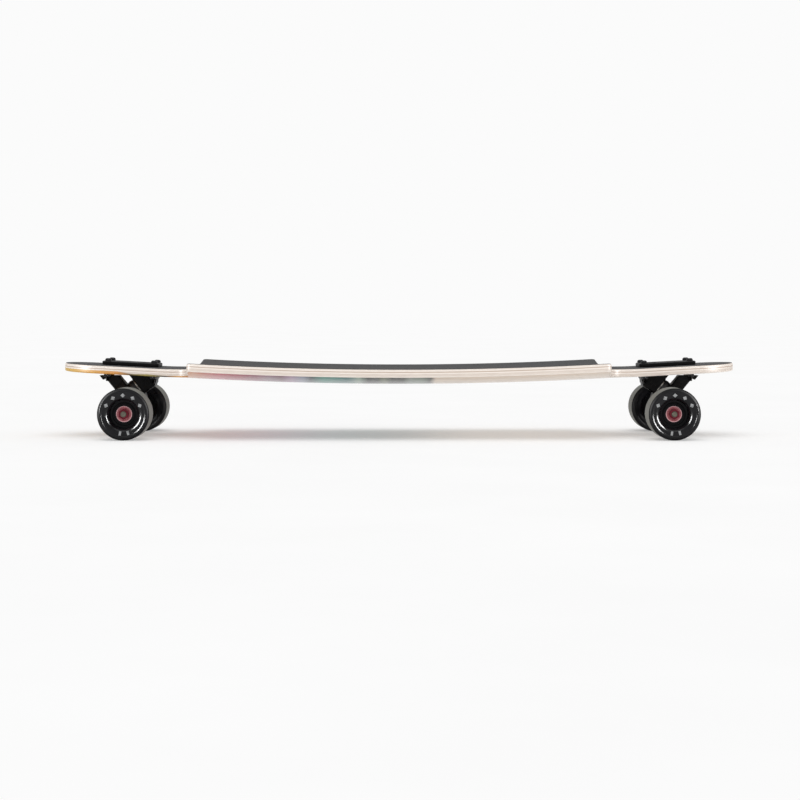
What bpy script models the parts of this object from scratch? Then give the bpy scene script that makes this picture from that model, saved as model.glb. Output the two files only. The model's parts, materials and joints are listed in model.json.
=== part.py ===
"""Drop-through longboard: a dished, rockered maple deck on two reverse-kingpin trucks, with four wheels.

All sizes are in millimetres and become metres where a mesh or a place is made. +X is the tail, -X the nose
and +Z is up, and the origin is on the ground under the middle of the deck. To a rider who faces the nose, the
left wheels are on the -Y side.
"""
import math

import bmesh
import bpy
from mathutils import Matrix

MM = 0.001
GAP = 0.3                    # clearance kept between pieces that touch

# Deck
DECK_LENGTH = 930
DECK_WIDTH = 240
DECK_THICKNESS = 10.2
DECK_EDGE = 2.2              # rounding along the rails
GRIP_THICKNESS = 0.8
CENTRE_HEIGHT = 84.2         # top of the grip above the ground, at the middle
ROCKER_HALF = 282            # half-length of the curved platform
ROCKER_RISE = 7.8            # how far the platform's ends stand above its middle
NECK_SLOPE = math.radians(3)
DISH_FLAT = 40               # half-width of the flat middle of the platform
DISH_RISE = 11.3             # height of the rails above the middle
DISH_POWER = 1.6
DISH_END = 330               # distance from the middle where the dish has faded out
SHOULDER = 285.2             # distance of the wheel cutouts' edge from the middle
SHOULDER_RADIUS = 6
SHOULDER_INNER = 287.7       # the same edge, where the fillet to the neck starts
FILLET_DEPTH = 20
FILLET_LENGTH = 15
NECK_HALF_WIDTH = 60
NOSE_START = 415             # distance from the middle where the round nose starts
FLAT_HALF = 20               # half-length of the level patch at the middle of the platform

# Wheels, measured along the axle from the middle of the board and from the wheel's middle plane
WHEEL_RADIUS = 35
WHEEL_WIDTH = 50
WHEEL_MIDDLE = 103           # distance of a wheel's middle plane from the middle of the board
TYRE_BORE = 18.5
LIP_RADIUS = 2.0
CORE_HALF = 12.4
BEARING_OUTER = 11
BEARING_WIDTH = 7
BEARING_START = 4.8          # distance of a bearing's inner face from the wheel's middle plane
AXLE_BORE = 4.2
AXLE_NUT_RADIUS = 7.3        # to its corners, as for the other nuts
AXLE_NUT_HEIGHT = 6
SPACER_LENGTH = 0.8          # between the outer bearing and the nut

# Trucks, in a frame whose origin is on the ground under the axle and whose +X points to the board's end
AXLE_DISTANCE = 369          # distance of each axle from the middle
AXLE_HEIGHT = WHEEL_RADIUS
AXLE_RADIUS = 3.9
AXLE_END = 124
SHOULDER_TO_SHOULDER = 180   # across the ends of the hanger
STEER_ANGLE = math.radians(51)       # slope of the steering axis, rising to the board's end
RING = (10, 57)              # where the kingpin crosses the steering axis: along X and up
STEER_TILT = math.pi / 2 - STEER_ANGLE
MOUNT_X = 3                  # middle of the mounting holes, from the axle
HOLE_X = 31.75
HOLE_Y = 20.65
HOLE_RADIUS = 2.8
FLANGE_LENGTH = 79
FLANGE_WIDTH = 56
FLANGE_THICKNESS = 5.2
SLOT_HALF_LENGTH = 38.2
SLOT_HALF_WIDTH = 14.9
BLOCK_HALF_WIDTH = 14
TOWER_HALF_WIDTH = 8.5
ARM_HALF = 8.5               # half the thickness of the hanger's slab
ARM_TOP = 83.4               # height where the hanger's arm ends, just under the deck
BUSH_LENGTH = 9.1
BUSH_RADIUS = 11.8
WASHER_THICKNESS = 1.5
WASHER_RADIUS = 12.4
KINGPIN_RADIUS = 4.75
KINGPIN_HEAD = -30           # where the head's seat lies, along the kingpin from the ring
KINGPIN_NUT_RADIUS = 8.2
KINGPIN_NUT_HEIGHT = 6.5
BOLT_RADIUS = 2.45
BOLT_NUT_RADIUS = 5.0
BOLT_NUT_HEIGHT = 4.5
BOLT_END = -22.7             # tip of a mounting bolt, below the mounting face
BLOCK_FACE = -(ARM_HALF + BUSH_LENGTH + WASHER_THICKNESS + 3 * GAP)
PIVOT_END = -42              # bottom of the pivot tower, along the steering axis from the ring
PIVOT_FACE = -31.5           # mouth of the pivot cup
CUP_RADIUS = 6.6
NOSE_RADIUS = 4.5

ALONG_X = Matrix.Rotation(math.pi / 2, 4, "Y")          # turns local +Z to +X
ALONG_Y = Matrix.Rotation(-math.pi / 2, 4, "X")         # turns local +Z to +Y
SIDE_ON = Matrix.Rotation(math.pi / 2, 4, "X")          # stands a flat outline up in the XZ plane
FACING_X = Matrix.Rotation(math.pi / 2, 4, "Z") @ SIDE_ON    # outline X to Y, outline Y to Z


def collection(name):
    made = bpy.data.collections.new(name)
    bpy.context.scene.collection.children.link(made)
    return made


def material(name, colour, roughness, metallic=0.0):
    made = bpy.data.materials.new(name)
    made.use_nodes = True
    shader = made.node_tree.nodes["Principled BSDF"]
    shader.inputs["Base Color"].default_value = (*colour, 1)
    shader.inputs["Roughness"].default_value = roughness
    shader.inputs["Metallic"].default_value = metallic
    return made


def add(name, mesh, parent=None, location=(0, 0, 0)):
    """Puts a mesh in the board's collection as a named object, under a parent empty."""
    piece = bpy.data.objects.new(name, mesh)
    board.objects.link(piece)
    piece.parent = parent
    piece.location = [value * MM for value in location]
    return piece


def finish(piece, colour_name):
    piece.data.materials.clear()
    piece.data.materials.append(materials[colour_name])
    return piece


def helper(piece):
    """Turns an object into a cutter or a shape to be joined on, which is not part of the board itself."""
    board.objects.unlink(piece)
    cutters.objects.link(piece)
    piece.hide_render = True
    piece.display_type = "WIRE"
    return piece


def combine(piece, operation, *others):
    for other in others:
        boolean = piece.modifiers.new(other.name, "BOOLEAN")
        boolean.operation = operation
        boolean.object = other


def empty(name, parent, location, tilt=0.0, turn=0.0):
    made = bpy.data.objects.new(name, None)
    board.objects.link(made)
    made.parent = parent
    made.location = [value * MM for value in location]
    made.rotation_euler = (0, tilt, turn)
    return made


def shade(mesh):
    mesh.shade_smooth()
    mesh.set_sharp_from_angle(angle=math.radians(35))


def rod(name, radius, start, end, segments=16, matrix=Matrix(), places=((0, 0),)):
    """A cylinder along local Z from start to end, or one at each of several places, as one mesh."""
    bm = bmesh.new()
    for x, y in places:
        middle = Matrix.Translation((x * MM, y * MM, (start + end) / 2 * MM))
        bmesh.ops.create_cone(bm, cap_ends=True, segments=segments, radius1=radius * MM, radius2=radius * MM,
                              depth=(end - start) * MM, matrix=middle)
    bm.transform(matrix)
    mesh = bpy.data.meshes.new(name)
    bm.to_mesh(mesh)
    bm.free()
    shade(mesh)
    return mesh


def box(name, low, high):
    bm = bmesh.new()
    bmesh.ops.create_cube(bm, size=1)
    for vertex in bm.verts:
        vertex.co = [(low[i] + (vertex.co[i] + 0.5) * (high[i] - low[i])) * MM for i in range(3)]
    mesh = bpy.data.meshes.new(name)
    bm.to_mesh(mesh)
    bm.free()
    return mesh


def circle(radius, points):
    steps = [2 * math.pi * i / points for i in range(points)]
    return [(radius * math.cos(angle), radius * math.sin(angle)) for angle in steps]


def rounded(corners, radius, steps=3):
    """Rounds each corner of a closed outline with an arc that touches both of its sides."""
    outline = []
    for i, (x, y) in enumerate(corners):
        ax, ay = corners[i - 1][0] - x, corners[i - 1][1] - y
        bx, by = corners[(i + 1) % len(corners)][0] - x, corners[(i + 1) % len(corners)][1] - y
        a_length, b_length = math.hypot(ax, ay), math.hypot(bx, by)
        half = math.acos((ax * bx + ay * by) / (a_length * b_length)) / 2
        reach = min(radius / math.tan(half), 0.45 * a_length, 0.45 * b_length)
        for step in range(steps + 1):
            t = step / steps
            p, q = (1 - t) ** 2 * reach / a_length, t ** 2 * reach / b_length
            outline.append((x + p * ax + q * bx, y + p * ay + q * by))
    return outline


def plate(name, outline, thickness, matrix=Matrix(), edge=0.0, holes=()):
    """A flat outline with holes, given a thickness centred on its plane and a rounded edge, as a mesh."""
    curve = bpy.data.curves.new(name, "CURVE")
    curve.dimensions = "2D"
    curve.fill_mode = "BOTH"
    curve.extrude = (thickness / 2 - edge) * MM
    curve.bevel_depth = edge * MM
    curve.bevel_resolution = 0
    curve.offset = -edge * MM
    for loop in (outline, *holes):
        spline = curve.splines.new("POLY")
        spline.points.add(len(loop) - 1)
        spline.use_cyclic_u = True
        for point, (x, y) in zip(spline.points, loop):
            point.co = (x * MM, y * MM, 0, 1)
    drawn = bpy.data.objects.new(name, curve)
    cutters.objects.link(drawn)
    graph = bpy.context.evaluated_depsgraph_get()
    mesh = bpy.data.meshes.new_from_object(drawn.evaluated_get(graph))
    bpy.data.objects.remove(drawn)
    bm = bmesh.new()
    bm.from_mesh(mesh)
    bmesh.ops.remove_doubles(bm, verts=bm.verts, dist=0.001 * MM)
    bm.transform(matrix)
    bmesh.ops.recalc_face_normals(bm, faces=bm.faces)
    bm.to_mesh(mesh)
    bm.free()
    shade(mesh)
    return mesh


def turned(name, profile, parent, location=(0, 0, 0), rotation=(0, 0, 0), steps=24, ring=False):
    """Turns a profile of (radius, height) points, running down its outer side, about local Z."""
    mesh = bpy.data.meshes.new(name)
    vertices = [(radius * MM, 0, height * MM) for radius, height in profile]
    edges = [(i, i + 1) for i in range(len(profile) - 1)]
    if ring:
        edges.append((len(profile) - 1, 0))
    mesh.from_pydata(vertices, edges, [])
    piece = add(name, mesh, parent, location)
    piece.rotation_euler = rotation
    screw = piece.modifiers.new("Turn", "SCREW")
    screw.steps = steps
    screw.render_steps = steps
    screw.use_merge_vertices = True
    screw.merge_threshold = 0.0001
    screw.use_smooth_shade = True
    return piece


# Deck

def centre_height(x):
    """Height of the grip's top along the middle of the board: a shallow curve, then straight rising necks."""
    a = abs(x)
    if a <= ROCKER_HALF:
        return CENTRE_HEIGHT + ROCKER_RISE * (a / ROCKER_HALF) ** 2
    return CENTRE_HEIGHT + ROCKER_RISE + (a - ROCKER_HALF) * math.tan(NECK_SLOPE)


def dish(x, y):
    """How far the rails stand above the middle, fading out along the necks."""
    across = max(0.0, (abs(y) - DISH_FLAT) / (DECK_WIDTH / 2 - DISH_FLAT))
    along = min(1.0, max(0.0, (DISH_END - abs(x)) / (DISH_END - SHOULDER_INNER)))
    return DISH_RISE * across ** DISH_POWER * along * along * (3 - 2 * along)


def half_outline():
    """The plan shape as (distance from the middle, half-width), from the middle to one end."""
    stations = [(x, DECK_WIDTH / 2) for x in (FLAT_HALF, 70, 120, 170, 215, 250)]
    for degrees in (0, 45, 90):
        angle = math.radians(degrees)
        x = SHOULDER - SHOULDER_RADIUS * (1 - math.sin(angle))
        stations.append((x, DECK_WIDTH / 2 - SHOULDER_RADIUS * (1 - math.cos(angle))))
    fillet_end = SHOULDER_INNER + FILLET_LENGTH
    for degrees in (0, 25, 55, 90):
        angle = math.radians(degrees)
        x = fillet_end - FILLET_LENGTH * math.cos(angle)
        stations.append((x, NECK_HALF_WIDTH + FILLET_DEPTH * (1 - math.sin(angle))))
    stations += [(x, NECK_HALF_WIDTH) for x in (DISH_END, AXLE_DISTANCE, NOSE_START)]
    for degrees in (20, 40, 58, 74, 86):
        angle = math.radians(degrees)
        x = NOSE_START + (DECK_LENGTH / 2 - NOSE_START) * math.sin(angle) / math.sin(math.radians(86))
        stations.append((x, NECK_HALF_WIDTH * math.cos(angle)))
    return stations


def loft(name, sections):
    """Skins a row of closed sections that have the same number of points.

    The quads are bent, so each is split in two, the same way on the upper and the lower side. Sheets that lie
    on each other then keep an even gap.
    """
    bm = bmesh.new()
    rings = [[bm.verts.new([value * MM for value in point]) for point in section] for section in sections]
    for ring, following in zip(rings, rings[1:]):
        for i in range(len(ring)):
            a, b, c, d = ring[i - 1], ring[i], following[i], following[i - 1]
            if b.co.y < a.co.y:
                a, b, c, d = b, a, d, c
            bm.faces.new((a, b, c))
            bm.faces.new((a, c, d))
    bm.faces.new(rings[0])
    bm.faces.new(rings[-1])
    bmesh.ops.recalc_face_normals(bm, faces=bm.faces)
    mesh = bpy.data.meshes.new(name)
    bm.to_mesh(mesh)
    bm.free()
    shade(mesh)
    return mesh


def board_sections(top_drop, thickness, edge):
    """Sections of a sheet that follows the board's top, with its rails rounded where edge is not zero."""
    fractions = (-1, -0.86, -0.7, -0.52, -0.33, 0.33, 0.52, 0.7, 0.86, 1)
    half = half_outline()
    stations = [(-x, width) for x, width in reversed(half)] + half
    sections = []
    for x, width in stations:
        inset = min(DECK_EDGE, width / 2)
        ys = [fraction * (width - inset) for fraction in fractions]
        top = [(x, y, centre_height(x) + dish(x, y) - top_drop) for y in ys]
        bottom = [(px, py, pz - thickness) for px, py, pz in reversed(top)]
        rail = top[-1][2]
        if edge:
            sides = [rail - edge, rail - thickness + edge]
            right = [(x, width, z) for z in sides]
            left = [(x, -width, z) for z in reversed(sides)]
            sections.append(top + right + bottom + left)
        else:
            sections.append(top + bottom)
    return sections


def make_deck(mounts):
    slots = [helper(truck_slot(mount)) for mount in mounts]
    deck = add("deck", loft("deck", board_sections(GRIP_THICKNESS + GAP, DECK_THICKNESS, DECK_EDGE)))
    finish(deck, "maple")
    grip = add("grip_tape", loft("grip_tape", board_sections(0, GRIP_THICKNESS, 0)))
    finish(grip, "grip")
    for piece in (deck, grip):
        combine(piece, "DIFFERENCE", *slots)


def truck_slot(mount):
    """The opening that a truck hangs through, wider between the bolts, as a cutter."""
    wide_x, wide_y, narrow_x, narrow_y = 20, 23, SLOT_HALF_LENGTH, SLOT_HALF_WIDTH
    corner = [(narrow_x, narrow_y), (wide_x, narrow_y), (wide_x, wide_y)]
    half = corner + [(-x, y) for x, y in reversed(corner)]
    outline = rounded(half + [(-x, -y) for x, y in half], 2, 1)
    return add(f"{mount.name}_slot", plate("slot", outline, 60), mount)


# Trucks

def to_truck(s, t):
    """From along the kingpin and along the steering axis, both from the ring, to the truck's X and Z."""
    across, up = math.cos(STEER_TILT), math.sin(STEER_TILT)
    return RING[0] + s * across + t * up, RING[1] - s * up + t * across


def make_baseplate(end, truck, mount, steering, holes):
    tilt = Matrix.Rotation(-NECK_SLOPE, 4, "Y")
    seat = Matrix.Translation([value * MM for value in mount.location / MM]) @ tilt
    lift = Matrix.Translation((0, 0, FLANGE_THICKNESS / 2 * MM))
    half_x, half_y = FLANGE_LENGTH / 2, FLANGE_WIDTH / 2
    outline = rounded([(half_x, half_y), (-half_x, half_y), (-half_x, -half_y), (half_x, -half_y)], 9, 3)
    flange = plate("flange", outline, FLANGE_THICKNESS, seat @ lift, 1.0)
    plate_piece = add(f"{end}_baseplate", flange, truck)

    flange_level = mount.location.z / MM + 1.5
    face_top = to_truck(BLOCK_FACE, (flange_level - RING[1] + BLOCK_FACE * math.sin(STEER_TILT))
                        / math.cos(STEER_TILT))
    side = [(-34.2, flange_level), (-34.2, 86), (-29.4, 68.7), (-14.5, 59.5), to_truck(-18.3, -19.5),
            to_truck(-14.7, -19.5), to_truck(-14.7, -14.2), to_truck(BLOCK_FACE, -13.8), face_top]
    block = plate("block", side, 2 * BLOCK_HALF_WIDTH, SIDE_ON, 1.0)
    half = TOWER_HALF_WIDTH
    tower_side = [(-7.5, -14.5), (-7.5, PIVOT_FACE), (half, PIVOT_FACE), (half, PIVOT_END), (-7.5, PIVOT_END),
                  (-15.5, PIVOT_FACE), (-18.2, -19.5), (-17.5, -14.5)]
    tower = plate("tower", [to_truck(s, t) for s, t in tower_side], 2 * half, SIDE_ON, 0.8)
    for mesh in (block, tower):
        combine(plate_piece, "UNION", helper(add(f"{end}_{mesh.name}_shape", mesh, truck)))

    head_pocket = rod("pocket", 8.6, -39, KINGPIN_HEAD, 20, ALONG_X)
    kingpin_hole = rod("hole", KINGPIN_RADIUS + GAP, KINGPIN_HEAD - 1, BLOCK_FACE + 5, 16, ALONG_X)
    cup_bore = rod("bore", CUP_RADIUS + GAP, PIVOT_FACE - 9.6, PIVOT_FACE + 5, 20)
    round_cuts = (head_pocket, kingpin_hole, cup_bore)
    cuts = [helper(add(f"{end}_{mesh.name}_cut", mesh, steering)) for mesh in round_cuts]
    well_x = to_truck(KINGPIN_HEAD - 4, 0)
    well = box("well", (well_x[0] - 8, -8, well_x[1]), (well_x[0] + 8, 8, 120))
    cuts.append(helper(add(f"{end}_well_cut", well, truck)))
    combine(plate_piece, "DIFFERENCE", holes, *cuts)
    finish(plate_piece, "cast")


def hanger_outline():
    """The hanger seen along the kingpin: an arm, the ring and the flare down to the axle."""
    half = [(11, 47), (11, 19), (15.5, 7), (15.5, -5), (21, -11), (50, -17.5), (50, -28.5), (14, -28.5),
            (14, -26.5)]
    return rounded(half + [(-y, t) for y, t in reversed(half)], 2.5, 2)


def make_hanger(end, truck, steering, axle_place):
    slab = plate("slab", hanger_outline(), 2 * ARM_HALF, FACING_X, 1.5, holes=[circle(8.5, 20)])
    hanger = add(f"{end}_hanger", slab, steering)
    tip = SHOULDER_TO_SHOULDER / 2
    half_profile = [(8.6, tip), (8.9, 72), (10.6, 30), (10.2, 18), (7.2, 13)]
    profile = [(0, tip)] + half_profile + [(r, -y) for r, y in reversed(half_profile)] + [(0, -tip)]
    wings = turned(f"{end}_wings_shape", profile, steering, axle_place, (-math.pi / 2, 0, 0), 24)
    nose_profile = [(0, -26), (6, -26), (NOSE_RADIUS, -30.5), (NOSE_RADIUS, -36.5), (3.2, -38.8), (0, -39.6)]
    nose = turned(f"{end}_nose_shape", nose_profile, steering, steps=16)
    toe = box("toe", (2, -11, 36.5), (12.6, 11, 47))
    toe_piece = add(f"{end}_toe_shape", toe, steering)
    combine(hanger, "UNION", *[helper(shape) for shape in (wings, nose, toe_piece)])

    over_top = add(f"{end}_top_cut", box("top", (-20, -30, ARM_TOP), (90, 30, ARM_TOP + 40)), truck)
    notch = add(f"{end}_notch_cut", box("notch", (-20, -14, -45), (-3, 14, -14)), steering)
    bore = rod("axle_hole", AXLE_BORE, -tip - 5, tip + 5, 16, ALONG_Y)
    axle_hole = add(f"{end}_axle_cut", bore, steering, axle_place)
    combine(hanger, "DIFFERENCE", *[helper(cut) for cut in (over_top, notch, axle_hole)])
    finish(hanger, "cast")


def make_axle(end, steering, axle_place):
    profile = [(0, AXLE_END), (3.2, AXLE_END), (AXLE_RADIUS, AXLE_END - 0.8)]
    profile += [(r, -y) for r, y in reversed(profile)]
    axle = turned(f"{end}_axle", profile, steering, axle_place, (-math.pi / 2, 0, 0), 16)
    finish(axle, "steel")


def ring_profile(inner, outer, start, end):
    return [(outer, end), (outer, start), (inner, start), (inner, end)]


def make_kingpin_stack(end, steering):
    """The kingpin with its nut, and the bushing and cupped washer on each side of the hanger's ring."""
    along_kingpin = (0, math.pi / 2, 0)
    bore = KINGPIN_RADIUS + GAP
    bush_start = ARM_HALF + GAP
    washer_start = bush_start + BUSH_LENGTH + GAP
    nut_start = washer_start + WASHER_THICKNESS + GAP
    for side, sign in (("boardside", -1), ("roadside", 1)):
        barrel = [(BUSH_RADIUS - 1.2, sign * bush_start),
                  (BUSH_RADIUS, sign * (bush_start + BUSH_LENGTH / 2)),
                  (BUSH_RADIUS - 1.2, sign * (bush_start + BUSH_LENGTH))]
        inner = [(bore, sign * (bush_start + BUSH_LENGTH)), (bore, sign * bush_start)]
        bush_profile = barrel + inner if sign < 0 else list(reversed(barrel + inner))
        bushing = turned(f"{end}_bushing_{side}", bush_profile, steering, (0, 0, 0), along_kingpin, 20, ring=True)
        finish(bushing, "bushing")
        low, high = sorted((sign * washer_start, sign * (washer_start + WASHER_THICKNESS)))
        washer_profile = ring_profile(bore, WASHER_RADIUS, low, high)
        washer = turned(f"{end}_washer_{side}", washer_profile, steering, (0, 0, 0), along_kingpin, 20, ring=True)
        finish(washer, "steel")
    shank = rod("kingpin", KINGPIN_RADIUS, KINGPIN_HEAD - 3, nut_start + 9.5, 16, ALONG_X)
    kingpin = add(f"{end}_kingpin", shank, steering)
    head = rod("head", 8.1, KINGPIN_HEAD - 6.5, KINGPIN_HEAD - GAP, 6, ALONG_X)
    combine(kingpin, "UNION", helper(add(f"{end}_head_shape", head, steering)))
    finish(kingpin, "steel")
    nut_outline = circle(KINGPIN_NUT_RADIUS, 6)
    nut = plate("kingpin_nut", nut_outline, KINGPIN_NUT_HEIGHT, ALONG_X, holes=[circle(bore, 12)])
    finish(add(f"{end}_kingpin_nut", nut, steering, (nut_start + KINGPIN_NUT_HEIGHT / 2, 0, 0)), "steel")


def make_pivot_cup(end, steering):
    inside, bottom = NOSE_RADIUS + GAP, PIVOT_FACE - 9.3
    profile = [(inside, PIVOT_FACE + GAP), (CUP_RADIUS, PIVOT_FACE + GAP), (CUP_RADIUS, bottom), (0, bottom),
               (0, bottom + 1), (inside - 1.4, bottom + 1.4), (inside, bottom + 4)]
    cup = turned(f"{end}_pivot_cup", profile, steering, steps=20, ring=True)
    finish(cup, "nylon")


def make_hardware(end, mount):
    """Four domed bolts through flange and deck, with their nuts under the deck."""
    head_seat = FLANGE_THICKNESS + GAP
    bolt_profile = [(0, head_seat + 3.7), (2.2, head_seat + 3.4), (3.9, head_seat + 2.2),
                    (4.5, head_seat + 0.8), (4.5, head_seat), (BOLT_RADIUS, head_seat), (BOLT_RADIUS, BOLT_END + 0.5),
                    (BOLT_RADIUS - 0.45, BOLT_END), (0, BOLT_END)]
    nut_top = -(GRIP_THICKNESS + DECK_THICKNESS + 4 * GAP)
    corners = [("outer", 1), ("inner", -1)]
    for depth, x_sign in corners:
        for side, y_sign in (("left", -1), ("right", 1)):
            tag = f"{end}_{depth}_{side}"
            y_local = y_sign * (1 if end == "rear" else -1)
            place = (x_sign * HOLE_X, y_local * HOLE_Y, 0)
            finish(turned(f"{tag}_bolt", bolt_profile, mount, place, steps=12), "black_steel")
            nut_hole = circle(BOLT_RADIUS + GAP, 10)
            nut = plate("bolt_nut", circle(BOLT_NUT_RADIUS, 6), BOLT_NUT_HEIGHT, holes=[nut_hole])
            nut_place = (place[0], place[1], nut_top - BOLT_NUT_HEIGHT / 2)
            finish(add(f"{tag}_bolt_nut", nut, mount, nut_place), "black_steel")


# Wheels

def tyre_profile():
    half = WHEEL_WIDTH / 2
    edge = WHEEL_RADIUS - LIP_RADIUS
    outer = [(TYRE_BORE + 0.8, half), (edge, half), (WHEEL_RADIUS - 0.6, half - 0.6),
             (WHEEL_RADIUS, half - LIP_RADIUS)]
    return outer + [(r, -y) for r, y in reversed(outer)] + [(TYRE_BORE, -half + 1), (TYRE_BORE, half - 1)]


def core_profile():
    """A core with a bearing seat on each side of a shoulder, and a raised lip around each seat."""
    seat = BEARING_OUTER + GAP
    face = CORE_HALF - 1.4
    shoulder = BEARING_START - GAP
    outer = [(13.4, CORE_HALF), (14.4, face), (TYRE_BORE - GAP, face)]
    inner = [(8.6, shoulder), (seat, shoulder), (seat, CORE_HALF)]
    return outer + [(r, -y) for r, y in reversed(outer)] + [(r, -y) for r, y in reversed(inner)] + inner


def make_wheel(corner, steering, axle_place, outward):
    """A wheel on its axle end: the outer side is the one away from the board's middle."""
    hub_place = (axle_place[0], outward * WHEEL_MIDDLE, axle_place[2])
    hub = empty(f"{corner}_hub", steering, hub_place, tilt=-STEER_TILT)
    turn = (-outward * math.pi / 2, 0, 0)
    finish(turned(f"{corner}_tyre", tyre_profile(), hub, rotation=turn, steps=32, ring=True), "urethane")
    finish(turned(f"{corner}_core", core_profile(), hub, rotation=turn, steps=20, ring=True), "core")
    for name, sign in (("outboard", 1), ("inboard", -1)):
        low, high = sorted((sign * BEARING_START, sign * (BEARING_START + BEARING_WIDTH)))
        profile = ring_profile(AXLE_BORE, BEARING_OUTER, low, high)
        bearing = turned(f"{corner}_bearing_{name}", profile, hub, rotation=turn, steps=16, ring=True)
        finish(bearing, "bearing")
    nut_middle = BEARING_START + BEARING_WIDTH + SPACER_LENGTH + AXLE_NUT_HEIGHT / 2
    stand = Matrix.Rotation(turn[0], 4, "X")
    nut = plate("axle_nut", circle(AXLE_NUT_RADIUS, 6), AXLE_NUT_HEIGHT, stand, holes=[circle(AXLE_BORE, 12)])
    finish(add(f"{corner}_axle_nut", nut, hub, (0, outward * nut_middle, 0)), "black_steel")


def make_truck(end, mount, truck):
    steering = empty(f"{end}_steering", truck, (RING[0], 0, RING[1]), tilt=STEER_TILT)
    s = (0 - RING[0]) * math.cos(STEER_TILT) - (AXLE_HEIGHT - RING[1]) * math.sin(STEER_TILT)
    t = (0 - RING[0]) * math.sin(STEER_TILT) + (AXLE_HEIGHT - RING[1]) * math.cos(STEER_TILT)
    axle_place = (s, 0, t)
    corners = [(x, y) for x in (HOLE_X, -HOLE_X) for y in (HOLE_Y, -HOLE_Y)]
    drill = rod("holes", HOLE_RADIUS, -30, 30, 12, places=corners)
    holes = helper(add(f"{end}_bolt_holes_cut", drill, mount))
    combine(bpy.data.objects["deck"], "DIFFERENCE", holes)
    combine(bpy.data.objects["grip_tape"], "DIFFERENCE", holes)
    make_baseplate(end, truck, mount, steering, holes)
    make_pivot_cup(end, steering)
    make_kingpin_stack(end, steering)
    make_hanger(end, truck, steering, axle_place)
    make_axle(end, steering, axle_place)
    make_hardware(end, mount)
    for side, y_sign in (("left", -1), ("right", 1)):
        outward = y_sign * (1 if end == "rear" else -1)
        make_wheel(f"{end}_{side}", steering, axle_place, outward)


for old in list(bpy.data.objects):
    bpy.data.objects.remove(old)
board = collection("longboard")
cutters = collection("cutters")
materials = {
    "maple": material("maple", (0.72, 0.58, 0.42), 0.5),
    "grip": material("grip", (0.03, 0.03, 0.032), 0.95),
    "cast": material("cast", (0.015, 0.015, 0.017), 0.35, 0.3),
    "steel": material("steel", (0.55, 0.54, 0.52), 0.3, 1.0),
    "black_steel": material("black_steel", (0.03, 0.03, 0.03), 0.35, 0.8),
    "bushing": material("bushing", (0.06, 0.06, 0.07), 0.5),
    "nylon": material("nylon", (0.05, 0.05, 0.05), 0.5),
    "urethane": material("urethane", (0.012, 0.012, 0.013), 0.3),
    "core": material("core", (0.02, 0.02, 0.022), 0.4),
    "bearing": material("bearing", (0.45, 0.12, 0.1), 0.35, 0.6),
}
trucks = {}
for name, sign in (("front", -1), ("rear", 1)):
    facing = 0.0 if sign > 0 else math.pi
    trucks[name] = empty(f"{name}_truck", None, (sign * AXLE_DISTANCE, 0, 0), turn=facing)
mount_height = centre_height(AXLE_DISTANCE + MOUNT_X) + GAP
truck_mounts = {}
for name, truck in trucks.items():
    truck_mounts[name] = empty(f"{name}_mount", truck, (MOUNT_X, 0, mount_height), tilt=-NECK_SLOPE)
make_deck(list(truck_mounts.values()))
for name, truck in trucks.items():
    make_truck(name, truck_mounts[name], truck)
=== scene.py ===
"""The looks of a drop-through longboard on a pale studio floor: pressed maple deck with grip tape and a soft
colour graphic, black cast trucks, glossy black wheels on red-shielded bearings, and their hardware.

Sizes are millimetres and become metres as each mesh is made. -X is the nose, +X the tail, +Z up.
"""
import json
import math

import bmesh
import bpy
from mathutils import Matrix, Vector
from mathutils.geometry import delaunay_2d_cdt

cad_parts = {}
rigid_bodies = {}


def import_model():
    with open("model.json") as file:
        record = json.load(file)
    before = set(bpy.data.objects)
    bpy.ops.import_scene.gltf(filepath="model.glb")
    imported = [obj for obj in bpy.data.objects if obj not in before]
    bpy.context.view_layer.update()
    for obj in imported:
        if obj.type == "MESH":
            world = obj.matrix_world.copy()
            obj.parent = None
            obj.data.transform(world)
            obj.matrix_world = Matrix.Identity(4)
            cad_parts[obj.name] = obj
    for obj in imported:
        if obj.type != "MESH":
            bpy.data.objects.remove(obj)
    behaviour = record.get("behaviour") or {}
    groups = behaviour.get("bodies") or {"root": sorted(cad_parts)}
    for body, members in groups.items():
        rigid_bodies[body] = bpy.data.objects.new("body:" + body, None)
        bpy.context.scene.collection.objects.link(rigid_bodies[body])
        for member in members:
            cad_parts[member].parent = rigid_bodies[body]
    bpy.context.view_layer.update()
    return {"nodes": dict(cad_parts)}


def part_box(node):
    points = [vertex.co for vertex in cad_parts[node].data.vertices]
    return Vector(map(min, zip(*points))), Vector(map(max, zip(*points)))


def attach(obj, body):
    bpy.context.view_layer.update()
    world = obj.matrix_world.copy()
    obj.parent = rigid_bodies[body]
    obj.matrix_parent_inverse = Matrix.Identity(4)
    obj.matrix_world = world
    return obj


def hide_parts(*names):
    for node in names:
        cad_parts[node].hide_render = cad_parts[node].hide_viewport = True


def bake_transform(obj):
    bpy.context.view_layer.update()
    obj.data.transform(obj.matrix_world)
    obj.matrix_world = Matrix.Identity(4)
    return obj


MM = 0.001
SMOOTH_ANGLE = math.radians(32)

# The deck's shape
DECK_LENGTH = 930
DECK_WIDTH = 240
DECK_THICKNESS = 10.8        # up to the grip tape, with no gap
DECK_EDGE = 1.8
GRIP_THICKNESS = 0.5
CENTRE_HEIGHT = 84.2
ROCKER_HALF = 282
ROCKER_RISE = 7.8
NECK_SLOPE = math.radians(3)
DISH_FLAT = 40
DISH_RISE = 11.3
DISH_POWER = 1.6
DISH_END = 330
SHOULDER = 285.2
SHOULDER_RADIUS = 6
SHOULDER_INNER = 287.7
FILLET_DEPTH = 20
FILLET_LENGTH = 15
NECK_HALF_WIDTH = 60
NOSE_START = 415
GRIP_INSET = 1.3
MESH_STEP = 9                # spacing of the deck's mesh lines

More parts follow.
